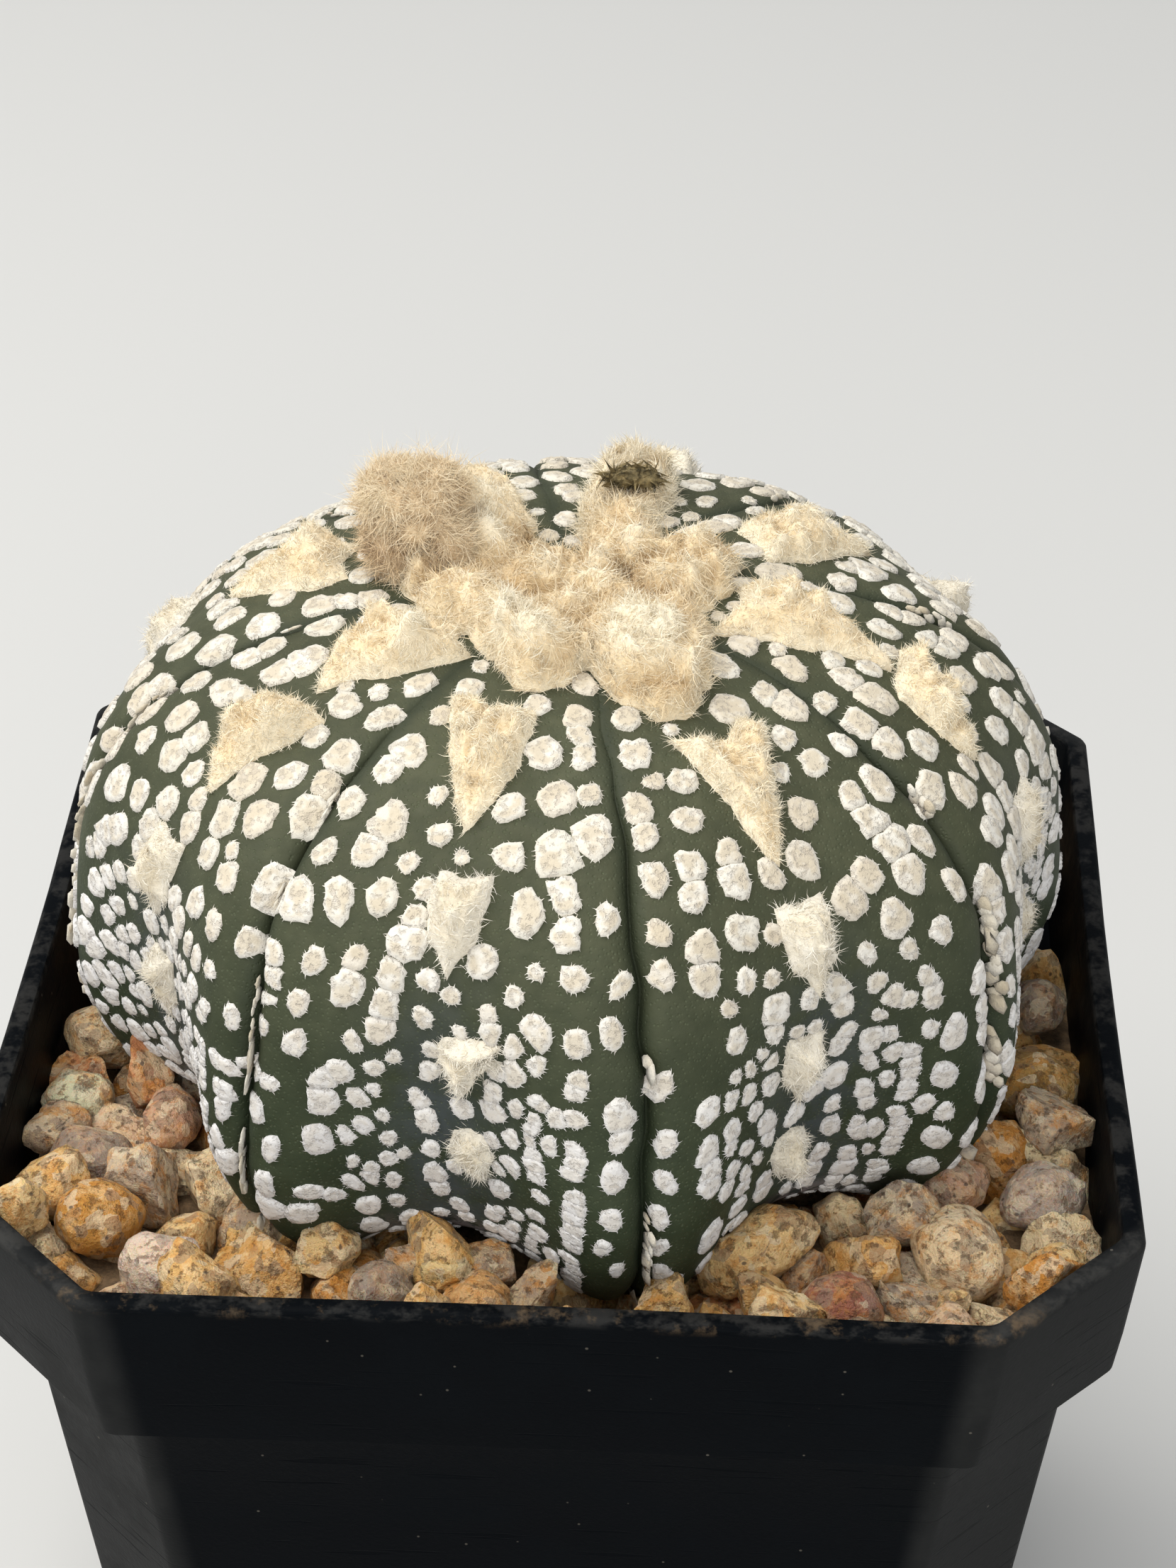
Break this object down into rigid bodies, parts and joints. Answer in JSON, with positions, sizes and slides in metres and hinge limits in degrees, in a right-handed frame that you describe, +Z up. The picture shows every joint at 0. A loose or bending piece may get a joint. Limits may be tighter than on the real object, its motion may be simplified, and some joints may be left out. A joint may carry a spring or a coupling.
{
  "type": "potted star cactus",
  "caption": "Spineless flattened ribbed cactus with woolly crown and white flecks, standing in a gravel-topped square plastic nursery pot.",
  "frame": {"origin": "centre of the pot's flat underside, on the surface that it stands on", "axes": "+Z up, through the plant's crown; the pot's front face, towards the camera of the picture, looks along -Y; +X is the pot's right side seen from the front"},
  "size_m": [0.0848, 0.0848, 0.1211],
  "materials": {
    "pot_plastic": "black moulded polypropylene, satin, dusty and finely scratched",
    "potting_mix": "dark crumbly cactus potting mix of bark and grit",
    "gravel": "weathered granite and quartz grit, matt, mixed ochre, cream and grey",
    "stone_tan": "weathered tan granite, matt and pitted",
    "stone_greenish": "pale greenish feldspar, matt",
    "stone_pink": "pinkish feldspar, matt",
    "stone_quartz": "grey-brown translucent quartz, satin",
    "stone_ochre": "ochre granite with dark pits, matt",
    "stone_milky": "milky quartz, satin",
    "stone_orange": "orange-stained granite, matt",
    "stone_red": "red-brown jasper-like stone, matt",
    "cactus_skin": "dark olive-green waxy skin, satin, with white felted flecks",
    "wool": "cream felted plant wool, fully matt",
    "bud_wool": "beige-pink plant wool, fully matt",
    "dried_flower": "dried, papery, dark brown"
  },
  "bodies": {
    "root": {"pot": "pot_plastic", "potting_soil": "potting_mix", "gravel_bed": "gravel", "stone_tan_left": "stone_tan", "stone_greenish_left": "stone_greenish", "stone_pink_left": "stone_pink", "stone_brown_quartz_left": "stone_quartz", "stone_ochre_left": "stone_ochre", "stone_milky_quartz": "stone_milky", "stone_grey_quartz_front": "stone_quartz", "stone_orange_front": "stone_orange", "stone_red_front": "stone_red", "stone_cream_right": "stone_tan", "stone_grey_quartz_right": "stone_quartz", "stone_pinkish_right": "stone_pink", "stone_spotted_right": "stone_ochre", "stone_grey_brown_right": "stone_quartz", "cactus_body": "cactus_skin", "crown_wool": "wool", "wool_tuft_1": "wool", "wool_tuft_2": "wool", "wool_tuft_3": "wool", "wool_tuft_4": "wool", "wool_tuft_5": "wool", "wool_tuft_6": "wool", "wool_tuft_7": "wool", "wool_tuft_8": "wool", "wool_tuft_9": "wool", "bud_wool": "bud_wool", "flower_tuft_wool": "wool", "dried_flower": "dried_flower"}
  },
  "joints": []
}
